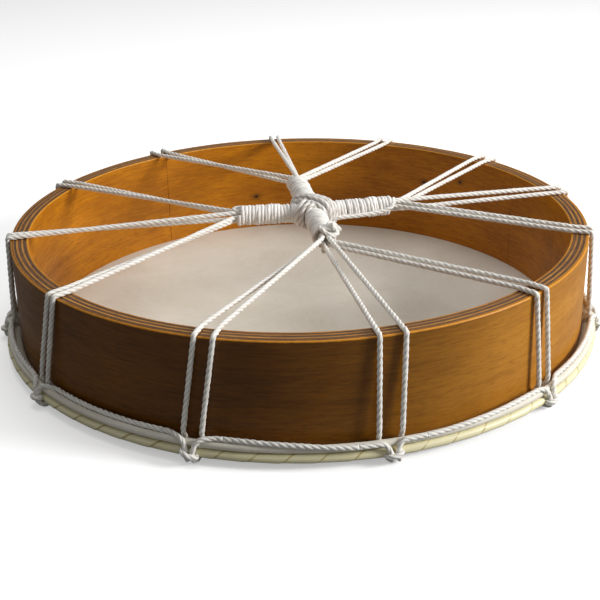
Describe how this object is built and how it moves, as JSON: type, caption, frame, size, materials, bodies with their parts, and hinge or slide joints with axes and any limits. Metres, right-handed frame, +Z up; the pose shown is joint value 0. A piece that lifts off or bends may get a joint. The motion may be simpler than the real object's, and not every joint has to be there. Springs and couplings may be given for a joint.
{
  "type": "frame drum",
  "caption": "Frame drum: a bent plywood hoop with a rawhide head, roped rings round its edge and a bound cord cross at the open back as its handle.",
  "frame": {"origin": "middle of the face that the drum rests on, with the head down", "axes": "+Z up along the hoop's axis, from the head to the open back; the finishing knot's arm of the handle points to -Y"},
  "size_m": [0.4223, 0.4238, 0.0908],
  "materials": {
    "amber_face_ply": "satin",
    "golden_core_ply": "matte",
    "brown_cross_ply": "matte",
    "rawhide": "matte",
    "ring_steel": "satin",
    "rattan": "matte",
    "yellow_wrap": "satin",
    "lacing_cord": "matte",
    "binding_cord": "matte"
  },
  "bodies": {
    "root": {"back_arm_binding": "binding_cord", "binding_end_loop": "binding_cord", "centre_lashing": "binding_cord", "drum_head": "rawhide", "finishing_knot": "binding_cord", "flesh_ring": "ring_steel", "front_arm_binding": "binding_cord", "handle_cord_bundles": "lacing_cord", "handle_side_strand": "binding_cord", "hitch_01": "lacing_cord", "hitch_02": "lacing_cord", "hitch_03": "lacing_cord", "hitch_04": "lacing_cord", "hitch_05": "lacing_cord", "hitch_06": "lacing_cord", "hitch_07": "lacing_cord", "hitch_08": "lacing_cord", "hitch_09": "lacing_cord", "hitch_10": "lacing_cord", "hitch_11": "lacing_cord", "hitch_12": "lacing_cord", "hoop_core_ply_1": "golden_core_ply", "hoop_core_ply_2": "golden_core_ply", "hoop_cross_ply_1": "brown_cross_ply", "hoop_cross_ply_2": "brown_cross_ply", "hoop_cross_ply_3": "brown_cross_ply", "hoop_inner_ply_1": "amber_face_ply", "hoop_inner_ply_2": "amber_face_ply", "hoop_inner_ply_3": "amber_face_ply", "hoop_outer_ply": "amber_face_ply", "left_arm_binding": "binding_cord", "right_arm_binding": "binding_cord", "ring_cord_01": "lacing_cord", "ring_cord_02": "lacing_cord", "ring_cord_03": "lacing_cord", "ring_cord_04": "lacing_cord", "ring_cord_05": "lacing_cord", "ring_cord_06": "lacing_cord", "ring_cord_07": "lacing_cord", "ring_cord_08": "lacing_cord", "ring_cord_09": "lacing_cord", "ring_cord_10": "lacing_cord", "ring_cord_11": "lacing_cord", "ring_cord_12": "lacing_cord", "tension_cord_01": "lacing_cord", "tension_cord_02": "lacing_cord", "tension_cord_03": "lacing_cord", "tension_cord_04": "lacing_cord", "tension_cord_05": "lacing_cord", "tension_cord_06": "lacing_cord", "tension_cord_07": "lacing_cord", "tension_cord_08": "lacing_cord", "tension_cord_09": "lacing_cord", "tension_cord_10": "lacing_cord", "tension_cord_11": "lacing_cord", "tension_cord_12": "lacing_cord", "tension_ring_core": "rattan", "tension_ring_wrap": "yellow_wrap"}
  },
  "joints": []
}
